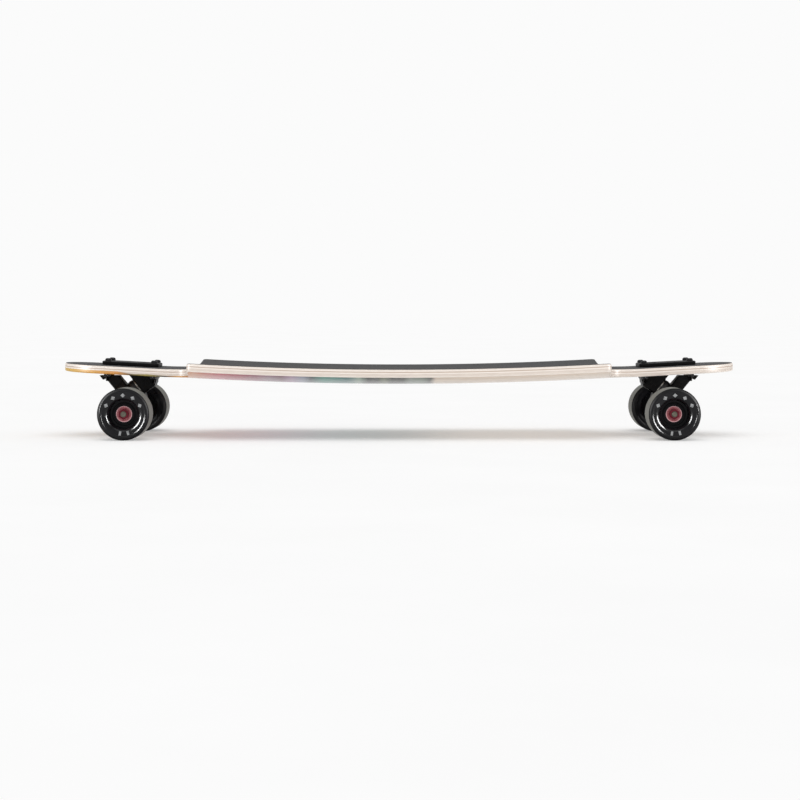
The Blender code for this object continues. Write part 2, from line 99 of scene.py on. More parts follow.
# Truck places, from the middle of the board
AXLE_DISTANCE = 369
MOUNT_DISTANCE = 372
HOLE_X = 31.75
HOLE_Y = 20.65
HOLE_RADIUS = 2.8
SLOT_HALF = ((37, 14.7), (20, 14.7), (20, 22.8), (-20, 22.8), (-20, 14.7), (-38, 14.7))   # +X is outward
HOLE_SEGMENTS = 16

# Steering
STEER_TILT = math.radians(39)        # slope of the kingpin below level
BUSHING_LENGTH = 9.1
BUSHING_RADIUS = 11.8
KINGPIN_BORE = 5.05

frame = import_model()


# Mesh tools

def link(name, mesh):
    piece = bpy.data.objects.new(name, mesh)
    bpy.context.scene.collection.objects.link(piece)
    return piece


def mesh_from(bm, name, smooth_angle=SMOOTH_ANGLE):
    mesh = bpy.data.meshes.new(name)
    bm.to_mesh(mesh)
    bm.free()
    mesh.shade_smooth()
    mesh.set_sharp_from_angle(angle=smooth_angle)
    return mesh


def middle_of(node):
    low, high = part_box(node)
    return Vector([(a + b) / 2 for a, b in zip(low, high)])


def stand_at(node, turn):
    """The matrix that turns a piece and moves it to the middle of a CAD node."""
    return Matrix.Translation(middle_of(node)) @ turn


def lathe(name, profile, materials, segments=96, ring=False):
    """Turns (radius, height, slot) points about local Z, running down the outer side.

    slot is the material of the stretch that follows the point. UV: once round in u, along the profile in v.
    """
    bm = bmesh.new()
    layer = bm.loops.layers.uv.new("turn")
    columns = []
    for i in range(segments):
        angle = 2 * math.pi * i / segments
        columns.append([bm.verts.new((r * MM * math.cos(angle), r * MM * math.sin(angle), z * MM))
                        if r > 0 else None for r, z, _ in profile])
    axis_points = {j: bm.verts.new((0, 0, z * MM)) for j, (r, z, _) in enumerate(profile) if r == 0}
    count = len(profile)
    for i in range(segments):
        here, there = columns[i], columns[(i + 1) % segments]
        for j in range(count if ring else count - 1):
            k = (j + 1) % count
            corners = [(here, j, 0), (here, k, 0), (there, k, 1), (there, j, 1)]
            verts, uvs = [], []
            for column, index, side in corners:
                vert = axis_points.get(index) or column[index]
                if vert not in verts:
                    verts.append(vert)
                    uvs.append(((i + side) / segments, (j if index == j else j + 1) / count))
            face = bm.faces.new(verts)
            face.material_index = profile[j][2]
            for loop, uv in zip(face.loops, uvs):
                loop[layer].uv = uv
    mesh = mesh_from(bm, name)
    for made in materials:
        mesh.materials.append(made)
    return link(name, mesh)


def place(piece, matrix, body, replaces=()):
    """Stands a finished piece where it belongs, hangs it on the body it rides on, and hides the CAD parts it
    stands for.
    """
    piece.data.transform(matrix)
    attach(piece, body)
    if replaces:
        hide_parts(*replaces)


# Materials

class Maker:
    """A material's node tree with short calls for the nodes it is built from."""

    def __init__(self, name, colour, roughness, metallic=0.0, coat=0.0, coat_roughness=0.1,
                 specular=0.5):
        self.material = bpy.data.materials.new(name)
        self.material.use_nodes = True
        self.tree = self.material.node_tree
        self.shader = self.tree.nodes["Principled BSDF"]
        values = {"Base Color": (*colour, 1), "Roughness": roughness, "Metallic": metallic,
                  "Coat Weight": coat, "Coat Roughness": coat_roughness, "Specular IOR Level": specular}
        for socket, value in values.items():
            self.shader.inputs[socket].default_value = value
        self.heights = []

    def node(self, kind, **values):
        """Adds a node, and sets its sockets or properties by name."""
        made = self.tree.nodes.new(kind)
        for key, value in values.items():
            if key in made.inputs:
                made.inputs[key].default_value = value
            else:
                setattr(made, key, value)
        return made

    def link(self, source, target):
        self.tree.links.new(source, target)

    def coordinates(self, scale=(1, 1, 1), output="Object"):
        mapping = self.node("ShaderNodeMapping", Scale=scale)
        self.link(self.node("ShaderNodeTexCoord").outputs[output], mapping.inputs["Vector"])
        return mapping.outputs["Vector"]

    def noise(self, scale, detail=4, stretch=(1, 1, 1)):
        made = self.node("ShaderNodeTexNoise", Scale=scale, Detail=detail, Roughness=0.6)
        self.link(self.coordinates(stretch), made.inputs["Vector"])
        return made.outputs["Fac"]

    def ramp(self, factor, *stops, interpolation="LINEAR"):
        """A colour ramp through (position, colour) stops."""
        made = self.node("ShaderNodeValToRGB")
        made.color_ramp.interpolation = interpolation
        elements = made.color_ramp.elements
        elements.remove(elements[1])
        elements[0].position = stops[0][0]
        elements[0].color = (*stops[0][1], 1)
        for position, colour in stops[1:]:
            elements.new(position).color = (*colour, 1)
        self.link(factor, made.inputs["Fac"])
        return made.outputs["Color"]

    def feed(self, value, socket):
        """Links an output to the socket, or sets the socket to a plain number or colour."""
        if hasattr(value, "is_output"):
            self.link(value, socket)
        else:
            socket.default_value = value if isinstance(value, float) else (*value, 1)

    def mix(self, factor, a, b):
        """Colour a where the factor is 0, b where it is 1."""
        made = self.node("ShaderNodeMix", data_type="RGBA")
        self.feed(factor, made.inputs["Factor"])
        coloured = [socket for socket in made.inputs if socket.type == "RGBA"]
        for socket, value in zip(coloured, (a, b)):
            self.feed(value, socket)
        return next(socket for socket in made.outputs if socket.type == "RGBA")

    def math(self, operation, *values):
        made = self.node("ShaderNodeMath", operation=operation)
        for value, socket in zip(values, made.inputs):
            self.feed(value, socket)
        return made.outputs["Value"]

    def spread(self, value, start, end):
        """0 where the value is start, 1 where it is end."""
        made = self.node("ShaderNodeMapRange")
        made.inputs["From Min"].default_value = start
        made.inputs["From Max"].default_value = end
        self.link(value, made.inputs["Value"])
        return made.outputs["Result"]

    def grey(self, factor, low, high):
        """low where the factor is 0, high where it is 1."""
        made = self.node("ShaderNodeMapRange")
        made.inputs["To Min"].default_value = low
        made.inputs["To Max"].default_value = high
        self.link(factor, made.inputs["Value"])
        return made.outputs["Result"]

    def colour(self, output):
        self.link(output, self.shader.inputs["Base Color"])

    def roughness(self, factor, low, high):
        self.link(self.grey(factor, low, high), self.shader.inputs["Roughness"])

    def bump(self, height, distance, strength=1.0):
        """Adds a bump of this height in millimetres on top of the ones before."""
        made = self.node("ShaderNodeBump", Strength=strength, Distance=distance * MM)
        self.link(height, made.inputs["Height"])
        if self.heights:
            self.link(self.heights[-1], made.inputs["Normal"])
        self.heights.append(made.outputs["Normal"])
        self.link(made.outputs["Normal"], self.shader.inputs["Normal"])


# How far from cross-grain (0) to long-grain (1) each ply looks on its edge, from the top down
PLY_TONES = (0.8, 1.0, 0.0, 1.0, 0.55, 0.6, 0.95)

# The print under the deck: distance from the middle in millimetres, and colour
PRINT_START, PRINT_END = -465, 50
PRINT = (
    (-465, (0.62, 0.4, 0.08)), (-425, (0.72, 0.36, 0.05)), (-385, (0.68, 0.27, 0.03)),
    (-366, (0.16, 0.11, 0.04)), (-345, (0.4, 0.32, 0.08)), (-318, (0.06, 0.045, 0.03)),
    (-300, (0.8, 0.4, 0.1)), (-275, (0.66, 0.27, 0.12)), (-256, (0.6, 0.2, 0.17)),
    (-240, (0.55, 0.13, 0.16)), (-215, (0.42, 0.09, 0.13)), (-192, (0.3, 0.09, 0.14)),
    (-176, (0.33, 0.22, 0.27)), (-158, (0.2, 0.09, 0.13)), (-146, (0.42, 0.28, 0.4)),
    (-130, (0.3, 0.33, 0.42)), (-118, (0.035, 0.06, 0.08)), (-100, (0.03, 0.27, 0.2)),
    (-72, (0.05, 0.17, 0.17)), (-57, (0.33, 0.42, 0.35)), (-44, (0.01, 0.01, 0.006)),
    (-32, (0.01, 0.01, 0.006)), (-23, (0.2, 0.22, 0.14)), (-12, (0.01, 0.014, 0.008)),
    (2, (0.02, 0.025, 0.012)), (12, (0.22, 0.26, 0.22)), (27, (0.2, 0.25, 0.2)),
    (44, (0.03, 0.03, 0.025)),
)

# Distance from the middle, and how far down the edge the print begins: 0 at the top, past 1 for not at all
SPILL = (
    (-465, 0.55), (-385, 0.56), (-365, 0.8), (-345, 0.72), (-318, 0.82), (-288, 0.84), (-284, 1.2),
)
SPILL_DEPTH = 2.0            # a ramp's greys stop at 1, so depths go in divided by this


def print_colours(m, across=1.0):
    """The drifting bands of colour under the board, a factor that is 1 past their end, and X."""
    split = m.node("ShaderNodeSeparateXYZ")
    m.link(m.coordinates(), split.inputs["Vector"])
    drift = m.grey(m.noise(14, 3, (0.6, across, 1)), -0.012, 0.012)
    along = m.math("ADD", split.outputs["X"], drift)
    reach = m.spread(along, PRINT_START * MM, PRINT_END * MM)
    length = PRINT_END - PRINT_START
    bands = m.ramp(reach, *[((x - PRINT_START) / length, colour) for x, colour in PRINT])
    streaks = m.noise(45, 5, (1, 0.5 * across, 1))
    washed = m.mix(m.grey(streaks, -0.3, 0.24), bands, (0.7, 0.68, 0.64))
    past = m.ramp(reach, (0.985, (0, 0, 0)), (0.999, (1, 1, 1)))
    return washed, past, split.outputs["X"]


def ply_edge():
    """Pressed maple on its edge: plies between thin glue lines, and the print's paint low on the nose."""
    m = Maker("maple_edge", (0.8, 0.7, 0.6), 0.5, coat=0.08, coat_roughness=0.35, specular=0.3)
    split = m.node("ShaderNodeSeparateXYZ")
    m.link(m.node("ShaderNodeTexCoord").outputs["UV"], split.inputs["Vector"])
    wobble = m.grey(m.noise(60, 3, (1, 1, 0.2)), -0.014, 0.014)
    depth = m.math("ADD", split.outputs["Y"], wobble)
    plies = len(PLY_TONES)
    within = m.math("FRACT", m.math("MULTIPLY", depth, float(plies)))
    glue = m.ramp(within, (0.0, (1, 1, 1)), (0.08, (0, 0, 0)), (0.92, (0, 0, 0)), (1.0, (1, 1, 1)))
    tones = [(i / plies, (tone, tone, tone)) for i, tone in enumerate(PLY_TONES)]
    tone = m.ramp(depth, *tones, interpolation="CONSTANT")
    grain = m.noise(900, 6, (0.08, 0.08, 3))
    long_grain = m.ramp(grain, (0.3, (0.84, 0.75, 0.67)), (0.7, (0.95, 0.88, 0.81)))
    cross_grain = m.ramp(grain, (0.3, (0.5, 0.38, 0.3)), (0.7, (0.66, 0.53, 0.44)))
    wood = m.mix(tone, cross_grain, long_grain)
    wood = m.mix(m.math("MULTIPLY", glue, 0.4), wood, (0.34, 0.23, 0.16))
    colours, _, along = print_colours(m)
    start, end = SPILL[0][0], SPILL[-1][0]
    levels = [((x - start) / (end - start), (level / SPILL_DEPTH,) * 3) for x, level in SPILL]
    limit = m.ramp(m.spread(along, start * MM, end * MM), *levels)
    over = m.math("SUBTRACT", depth, m.math("MULTIPLY", limit, SPILL_DEPTH))
    painted = m.ramp(over, (0.0, (0, 0, 0)), (0.05, (1, 1, 1)))
    m.colour(m.mix(painted, wood, colours))
    m.bump(grain, 0.08, 0.5)
    m.bump(glue, -0.05, 0.5)
    m.roughness(grain, 0.42, 0.6)
    return m.material


def underside():
    """The deck's underside: soft colours under the nose half, then bare maple, all under lacquer."""
    m = Maker("maple_underside", (0.7, 0.55, 0.4), 0.45, coat=0.55, coat_roughness=0.05,
              specular=0.1)
    colours, past, _ = print_colours(m, 0.35)
    grain = m.noise(140, 8, (0.05, 1, 1))
    wood = m.ramp(grain, (0.3, (0.66, 0.53, 0.42)), (0.7, (0.84, 0.72, 0.6)))
    m.colour(m.mix(past, colours, wood))
    m.bump(grain, 0.05, 0.4)
    m.roughness(grain, 0.34, 0.5)
    return m.material


def grip():
    """Coarse black abrasive: sharp grains with a few that glint."""
    m = Maker("grip_grit", (0.05, 0.05, 0.052), 0.9, specular=0.6)
    grains = m.node("ShaderNodeTexVoronoi", Scale=1500)
    m.link(m.coordinates(), grains.inputs["Vector"])
    wear = m.noise(35, 5)
    dark = m.ramp(grains.outputs["Distance"], (0.0, (0.13, 0.13, 0.132)), (0.5, (0.05, 0.05, 0.052)))
    m.colour(m.mix(m.grey(wear, 0.0, 0.3), dark, (0.14, 0.138, 0.135)))
    m.bump(grains.outputs["Distance"], 0.35, 0.9)
    m.roughness(wear, 0.8, 1.0)
    return m.material


def cast():
    """Black powder coat over a casting: an even orange-peel with slight unevenness below it."""
    tone = 0.006
    m = Maker("powder_coat", (tone, tone, tone * 1.06), 0.4, specular=0.12)
    patches = m.noise(60, 4)
    m.colour(m.ramp(patches, (0.3, (tone * 0.8,) * 3), (0.75, (tone * 1.7, tone * 1.7, tone * 1.8))))
    m.roughness(patches, 0.36, 0.52)
    m.bump(m.noise(1400, 3), 0.06, 0.5)
    m.bump(patches, 0.25, 0.3)
    return m.material


def shades(colour, darker, lighter):
    """A colour made darker and lighter."""
    return [c * darker for c in colour], [min(1, c * lighter) for c in colour]


def metal(name, colour, rough=(0.2, 0.38)):
    """Plated or oxidised steel with fine machining marks and faint stains."""
    m = Maker(name, colour, 0.3, metallic=1.0)
    dark, light = shades(colour, 0.8, 1.15)
    m.colour(m.ramp(m.noise(160, 4), (0.3, dark), (0.75, light)))
    m.roughness(m.noise(900, 5), *rough)
    m.bump(m.noise(2600, 3), 0.02, 0.4)
    return m.material


def urethane_face():
    """Moulded urethane: near-black and glossy, with faint swirls under the surface."""
    m = Maker("urethane_gloss", (0.007, 0.007, 0.008), 0.16, specular=0.2)
    swirl = m.noise(70, 5, (1, 0.4, 1))
    m.colour(m.ramp(swirl, (0.3, (0.004, 0.004, 0.005)), (0.75, (0.011, 0.011, 0.013))))
    m.roughness(swirl, 0.13, 0.24)
    m.bump(swirl, 0.12, 0.25)
    return m.material


def urethane_tread():
    """Ground urethane: pale grey dust over black, with fine grinding lines running round the wheel."""
    m = Maker("urethane_tread", (0.13, 0.13, 0.12), 0.6, specular=0.3)
    lines = m.node("ShaderNodeTexNoise", Scale=1.0, Detail=6.0)
    m.link(m.coordinates((2, 260, 1), "UV"), lines.inputs["Vector"])
    dust = m.noise(120, 5)
    both = m.math("ADD", m.math("MULTIPLY", lines.outputs["Fac"], 0.8), m.math("MULTIPLY", dust, 0.2))
    m.colour(m.ramp(both, (0.35, (0.075, 0.077, 0.068)), (0.65, (0.2, 0.2, 0.18))))
    m.bump(lines.outputs["Fac"], 0.05, 0.6)
    m.roughness(dust, 0.5, 0.7)
    return m.material


def print_ink():
    """The grey ink of the wheels' marks, rubbed thin in places."""
    m = Maker("print_ink", (0.32, 0.33, 0.335), 0.4, coat=0.3)
    rub = m.noise(500, 5)
    m.colour(m.ramp(rub, (0.32, (0.2, 0.205, 0.21)), (0.6, (0.4, 0.41, 0.415))))
    m.roughness(rub, 0.3, 0.55)
    return m.material


def plastic(name, colour, rough=(0.3, 0.5), specular=0.4):
    """Moulded plastic or urethane, faintly mottled."""
    m = Maker(name, colour, 0.4, specular=specular)
    mottle = m.noise(200, 4)
    dark, light = shades(colour, 0.75, 1.3)
    m.colour(m.ramp(mottle, (0.3, dark), (0.7, light)))
    m.roughness(mottle, *rough)
    m.bump(m.noise(1500, 3), 0.03, 0.4)
    return m.material


def shield():
    """The bearing's red rubber shield, lighter pink in random patches."""
    m = Maker("bearing_shield", (0.42, 0.08, 0.1), 0.45)
    dust = m.noise(420, 5)
    m.colour(m.ramp(dust, (0.3, (0.34, 0.05, 0.07)), (0.72, (0.6, 0.2, 0.22))))
    m.roughness(dust, 0.35, 0.6)
    m.bump(dust, 0.04, 0.4)
    return m.material


LOOKS = {
    "edge": ply_edge(),
    "underside": underside(),
    "grip": grip(),
    "cast": cast(),
    "steel": metal("zinc_steel", (0.55, 0.53, 0.49)),
    "black_steel": metal("black_oxide", (0.035, 0.035, 0.037), (0.25, 0.42)),
    "ring_steel": metal("bearing_steel", (0.78, 0.47, 0.49), (0.2, 0.34)),
    "gloss": urethane_face(),
    "rim": plastic("urethane_satin", (0.006, 0.006, 0.007), (0.4, 0.5), 0.06),
    "tread": urethane_tread(),
    "ink": print_ink(),
    "core": plastic("core_plastic", (0.006, 0.006, 0.007), (0.35, 0.5), 0.12),
    "axle": metal("dull_steel", (0.2, 0.185, 0.15), (0.4, 0.6)),
    "bushing": plastic("bushing_urethane", (0.03, 0.03, 0.034), (0.35, 0.5)),
    "nylon": plastic("cup_nylon", (0.05, 0.05, 0.052)),
    "insert": plastic("nut_insert", (0.04, 0.06, 0.09)),
    "shield": shield(),
    "red_nut": metal("red_anodised", (0.2, 0.03, 0.045), (0.25, 0.4)),
    "red_insert": plastic("red_insert", (0.1, 0.012, 0.018)),
}


# Deck

def centre_height(x):
    """Height of the board's top along its middle line: a shallow curve, then straight necks that rise."""
    distance = abs(x)
    if distance <= ROCKER_HALF:
        return CENTRE_HEIGHT + ROCKER_RISE * (distance / ROCKER_HALF) ** 2
    return CENTRE_HEIGHT + ROCKER_RISE + (distance - ROCKER_HALF) * math.tan(NECK_SLOPE)


def dish(x, y):
    """How far the platform's sides rise above its middle line, dying away along the necks."""
    across = max(0.0, (abs(y) - DISH_FLAT) / (DECK_WIDTH / 2 - DISH_FLAT))
    along = min(1.0, max(0.0, (DISH_END - abs(x)) / (DISH_END - SHOULDER_INNER)))
    return DISH_RISE * across ** DISH_POWER * along * along * (3 - 2 * along)


def split_line(start, end, step):
    """Points from start up to, not including, end, no further than step apart."""
    count = max(1, math.ceil(math.dist(start, end) / step))
    return [(start[0] + (end[0] - start[0]) * i / count, start[1] + (end[1] - start[1]) * i / count)
            for i in range(count)]


def quarter_turn(count):
    """The cosine and sine of evenly spaced angles from 0 to 90 degrees."""
    angles = [math.radians(90 * i / count) for i in range(count + 1)]
    return [(math.cos(angle), math.sin(angle)) for angle in angles]


def deck_outline():
    """The board's plan outline, once round anticlockwise."""
    half_width = DECK_WIDTH / 2
    corners = [(0, half_width)]
    for cosine, sine in quarter_turn(6):
        corners.append((SHOULDER - SHOULDER_RADIUS * (1 - sine), half_width - SHOULDER_RADIUS * (1 - cosine)))
    for cosine, sine in quarter_turn(8):
        corners.append((SHOULDER_INNER + FILLET_LENGTH * (1 - cosine),
                        NECK_HALF_WIDTH + FILLET_DEPTH * (1 - sine)))
    for cosine, sine in quarter_turn(20):
        corners.append((NOSE_START + (DECK_LENGTH / 2 - NOSE_START) * sine, NECK_HALF_WIDTH * cosine))
    quarter = []
    for start, end in zip(corners, corners[1:]):
        quarter += split_line(start, end, MESH_STEP)
    quarter.append(corners[-1])
    tail = quarter + [(x, -y) for x, y in reversed(quarter[:-1])]
    clockwise = tail[:-1] + [(-x, -y) for x, y in tail[:-1]]
    return clockwise[::-1]


def inset_loop(loop, distance):
    """Moves each side of an anticlockwise loop inwards."""
    moved = []
    for i, (x, y) in enumerate(loop):
        before, after = loop[i - 1], loop[(i + 1) % len(loop)]
        a = Vector((x - before[0], y - before[1])).normalized()
        b = Vector((after[0] - x, after[1] - y)).normalized()
        inward = Vector((-a.y - b.y, a.x + b.x)).normalized()
        reach = distance / max(0.4, inward.dot(Vector((-a.y, a.x))))
        moved.append((x + inward.x * reach, y + inward.y * reach))
    return moved


def bolt_hole(x, y):
    angles = [2 * math.pi * i / HOLE_SEGMENTS for i in range(HOLE_SEGMENTS)]
    return [(x + HOLE_RADIUS * math.cos(angle), y + HOLE_RADIUS * math.sin(angle)) for angle in angles]


def deck_holes():
    """The truck slots and the bolt holes."""
    holes = []
    for end in (-1, 1):
        middle = end * MOUNT_DISTANCE
        slot = [(middle + end * x, y) for x, y in SLOT_HALF]
        slot += [(x, -y) for x, y in reversed(slot)]
        holes.append([point for i in range(len(slot))
                      for point in split_line(slot[i - 1], slot[i], MESH_STEP)])
        for x in (-HOLE_X, HOLE_X):
            for y in (-HOLE_Y, HOLE_Y):
                holes.append(bolt_hole(middle + x, y))
    return holes


def inside(loops, x, y):
    """True where an odd number of loops' sides lie to the right of the point."""
    crossings = 0
    for loop in loops:
        for (x0, y0), (x1, y1) in zip(loop, loop[1:] + loop[:1]):
            if (y0 > y) != (y1 > y) and x < x0 + (y - y0) * (x1 - x0) / (y1 - y0):
                crossings += 1
    return crossings % 2 == 1


def fill(loops):
    """Fills the space between loops with even triangles.

    Returns its points, the loops' own first, and its triangles.
    """
    points = [point for loop in loops for point in loop]
    sides = []
    first = 0
    for loop in loops:
        sides += [(first + i, first + (i + 1) % len(loop)) for i in range(len(loop))]
        first += len(loop)
    near = MESH_STEP * 0.45
    rim = [Vector(point) for point in points]
    row_height = MESH_STEP * math.sqrt(3) / 2
    rows = int(DECK_WIDTH / 2 / row_height)
    columns = int(DECK_LENGTH / 2 / MESH_STEP)
    for row in range(-rows, rows + 1):
        shift = MESH_STEP / 2 * (row % 2)
        for column in range(-columns - 1, columns + 1):
            x, y = column * MESH_STEP + shift, row * row_height
            if inside(loops, x, y) and min((Vector((x, y)) - point).length for point in rim) > near:
                points.append((x, y))
    filled, _, triangles, *_ = delaunay_2d_cdt([Vector(point) for point in points], sides, [], 0, 1e-5)
    kept = []
    for triangle in triangles:
        middle = sum((filled[i] for i in triangle), Vector((0, 0))) / 3
        if inside(loops, middle.x, middle.y):
            kept.append(triangle)
    return filled, kept


def edge_rows(thickness, edge):
    """How far in and how far down the rows of a sheet's side lie, from its top to its bottom."""
    if not edge:
        return [(0, 0), (0, thickness)]
    rounding = [(edge * (1 - sine), edge * (1 - cosine)) for cosine, sine in quarter_turn(4)[:-1]]
    lower = [(pull, thickness - drop) for pull, drop in reversed(rounding)]
    return rounding + [(0, edge), (0, thickness - edge)] + lower


def wrap_side(bm, layer, columns, depths, thickness):
    """Joins loops of points, one below another, with a band of faces whose UV runs round and down."""
    count = len(columns[0])
    for above, below, high, low in zip(columns, columns[1:], depths, depths[1:]):
        for i in range(count):
            j = (i + 1) % count
            face = bm.faces.new((above[i], below[i], below[j], above[j]))
            for corner, (u, v) in zip(face.loops, ((i, high), (i, low), (i + 1, low), (i + 1, high))):
                corner[layer].uv = (u / count, v / thickness)


def pressed_sheet(name, inset, top_drop, thickness, edge, looks):
    """A sheet of the board's outline pressed to the board's curves, with its long edges rounded.

    UV on its sides: once round in u, and down through the sheet in v.
    """
    outline = inset_loop(deck_outline(), inset)
    holes = deck_holes()
    rows = edge_rows(thickness, edge)
    bm = bmesh.new()
    layer = bm.loops.layers.uv.new("ply")

    def vertex(x, y, drop):
        return bm.verts.new((x * MM, y * MM, (centre_height(x) + dish(x, y) - top_drop - drop) * MM))

    points, triangles = fill([inset_loop(outline, edge)] + holes)
    top = [vertex(x, y, 0) for x, y in points]
    bottom = [vertex(x, y, thickness) for x, y in points]
    for triangle in triangles:
        bm.faces.new([top[i] for i in triangle])
        under = bm.faces.new([bottom[i] for i in reversed(triangle)])
        under.material_index = 1
    rings = [[vertex(x, y, drop) for x, y in inset_loop(outline, pull)] for pull, drop in rows[1:-1]]
    count = len(outline)
    wrap_side(bm, layer, [top[:count], *rings, bottom[:count]], [drop for _, drop in rows], thickness)
    first = count
    for hole in holes:
        last = first + len(hole)
        wrap_side(bm, layer, [top[first:last], bottom[first:last]], [0, thickness], thickness)
        first = last
    bmesh.ops.recalc_face_normals(bm, faces=bm.faces)
    piece = link(name, mesh_from(bm, name, math.radians(40)))
    for look in looks:
        piece.data.materials.append(look)
    return piece


def make_deck():
    deck = pressed_sheet("pressed_deck", 0, GRIP_THICKNESS, DECK_THICKNESS, DECK_EDGE,
                         (LOOKS["edge"], LOOKS["underside"]))
    place(deck, Matrix(), "deck_and_trucks", ["deck"])
    lap = 0.05          # into the deck, so that no gap shows
    sheet = pressed_sheet("grip_sheet", GRIP_INSET, 0, GRIP_THICKNESS + lap, 0, (LOOKS["grip"],) * 2)
    place(sheet, Matrix(), "deck_and_trucks", ["grip_tape"])


# Wheels

# The wheel's outer face from the tread's edge in, as (radius, height above the wheel's middle plane): a
# rounded rim, a bead, a channel, and a broad lip that rolls into the deep recess round the core
FACE = (
    (35, 21.6), (34.8, 22.6), (34.2, 23.5), (33.2, 24.2), (31.9, 24.7), (31.0, 24.95), (30.3, 25),
    (29.7, 24.88), (29.2, 24.6), (28.8, 24.3), (28.4, 24.2), (27.4, 24.17), (26.4, 24.14), (25.4, 24.03),
    (24.4, 23.78), (23.4, 23.4), (22.4, 22.85), (21.5, 22.1), (20.7, 21.1), (20.0, 19.7), (19.4, 17.8),
    (18.9, 15.2), (18.5, 12.2),
)
RIM_INNER = 31.9


def make_tyre(corner, stand):
    gloss, tread, rim = 0, 1, 2
    outer = [(r, z, rim if r >= RIM_INNER else gloss) for r, z in reversed(FACE)]
    inner = [(r, -z, rim if r > RIM_INNER else gloss) for r, z in FACE]
    outer[-1] = (*FACE[0], tread)
    rows = [(FACE[0][0], z, tread) for z in (14, 7, 0, -7, -14)]
    looks = (LOOKS["gloss"], LOOKS["tread"], LOOKS["rim"])
    tyre = lathe(f"{corner}_urethane", outer + rows + inner, looks, 112, ring=True)
    place(tyre, stand, f"{corner}_wheel", [f"{corner}_tyre"])


def face_height(radius):
    """Height of the wheel's outer face at a radius."""
    for (r1, z1), (r0, z0) in zip(FACE, FACE[1:]):
        if r0 <= radius <= r1:
            return z0 + (z1 - z0) * (radius - r0) / (r1 - r0)
    return FACE[0][1]


def make_marks(corner, stand):
    """Plain printed marks on the face: five lozenges above and two short bars below."""
    lift, thickness = 0.06, 0.1
    start, length, steps = 22.9, 5.4, 12
    lozenges = [(90 + 31 * i, 2.9, True) for i in (-2, -1, 0, 1, 2)]
    bars = [(261, 1.5, False), (285, 1.5, False)]
    bm = bmesh.new()
    for degrees, half_width, pointed in lozenges + bars:
        rows = []
        for i in range(steps + 1):
            t = i / steps
            radius = start + length * t
            half = half_width * (1 - abs(2 * t - 1)) + 0.2 if pointed else half_width
            height = face_height(radius) + lift
            row = []
            for across in (-1, 0, 1):
                angle = math.radians(degrees) + across * half / radius
                point = Vector((radius * math.cos(angle), radius * math.sin(angle), height))
                row.append(bm.verts.new(point * MM))
            rows.append(row)
        for a, b in zip(rows, rows[1:]):
            for j in range(2):
                bm.faces.new((a[j], b[j], b[j + 1], a[j + 1]))
    bmesh.ops.recalc_face_normals(bm, faces=bm.faces)
    bmesh.ops.solidify(bm, geom=bm.faces[:], thickness=thickness * MM)
    marks = link(f"{corner}_print", mesh_from(bm, f"{corner}_print"))
    marks.data.materials.append(LOOKS["ink"])
    place(marks, stand, f"{corner}_wheel")


def make_core(corner, stand):
    """The hard core in the tyre: a seat for a bearing at each end and a stop between them."""
    profile = [
        (11.25, 12.4), (13.9, 12.4), (14.4, 12.1), (14.7, 10.9), (15.6, 10.4), (17.2, 10.4), (18.3, 10.9),
        (18.3, -10.9), (17.2, -10.4), (14.4, -10.4), (13.6, -12.1), (11.25, -12.4), (11.25, -4.6),
        (8.8, -4.4), (8.8, 4.4), (11.25, 4.6),
    ]
    core = lathe(f"{corner}_hub", [(r, z, 0) for r, z in profile], (LOOKS["core"],), 80, ring=True)
    place(core, stand, f"{corner}_wheel", [f"{corner}_core"])


def make_bearing(corner, name, turn):
    """A sealed bearing, the same on both faces: outer ring, sunken rubber shield, inner ring."""
    steel, rubber, half_width = 0, 1, 3.5
    face = [
        (10.95, -0.6, steel), (10.7, -0.1, steel), (10.4, 0, steel), (9.9, 0, steel), (9.75, -0.3, rubber),
        (9.3, -0.4, rubber), (8.9, -0.2, rubber), (6.7, -0.25, rubber), (6.3, -0.5, steel),
        (6.15, -0.1, steel), (5.9, 0, steel), (4.6, 0, steel), (4.2, -0.35, steel),
    ]
    under = [(r, -half_width - z, slot) for r, z, slot in face]
    over = [(r, half_width + z, face[i - 1][2]) for i, (r, z, _) in enumerate(face)]
    profile = over[::-1] + under
    looks = (LOOKS["ring_steel"], LOOKS["shield"])
    bearing = lathe(f"{corner}_{name}_bearing", profile, looks, 64, ring=True)
    node = f"{corner}_bearing_{name}"
    place(bearing, stand_at(node, turn), f"{corner}_wheel", [node])


def hex_nut(name, across, height, bore, looks):
    """A hexagon nut about its own middle, with chamfered corners and a sunken insert ring on top."""
    steel, insert, segments = 0, 1, 48
    flats = across / 2
    profile = [
        (bore, 0, steel), (flats * 1.04, 0, steel), (None, 0.55, steel), (None, height - 0.9, steel),
        (flats * 0.98, height - 0.35, steel), (flats * 0.86, height - 0.35, steel),
        (flats * 0.84, height, steel), (flats * 0.7, height, insert), (bore + 0.55, height - 0.1, insert),
        (bore, height - 0.5, steel),
    ]
    bm = bmesh.new()
    rings = []
    for radius, z, _ in profile:
        ring = []
        for i in range(segments):
            angle = 2 * math.pi * i / segments
            from_flat = (angle + math.pi / 6) % (math.pi / 3) - math.pi / 6
            r = radius or min(flats / math.cos(from_flat), flats * 1.12)
            point = Vector((r * math.cos(angle), r * math.sin(angle), z - height / 2))
            ring.append(bm.verts.new(point * MM))
        rings.append(ring)
    for ring, following, (_, _, slot) in zip(rings, rings[1:] + rings[:1], profile):
        for i in range(segments):
            j = (i + 1) % segments
            face = bm.faces.new((ring[i], ring[j], following[j], following[i]))
            face.material_index = slot
    bmesh.ops.recalc_face_normals(bm, faces=bm.faces)
    nut = link(name, mesh_from(bm, name, math.radians(25)))
    for look in looks:
        nut.data.materials.append(look)
    return nut


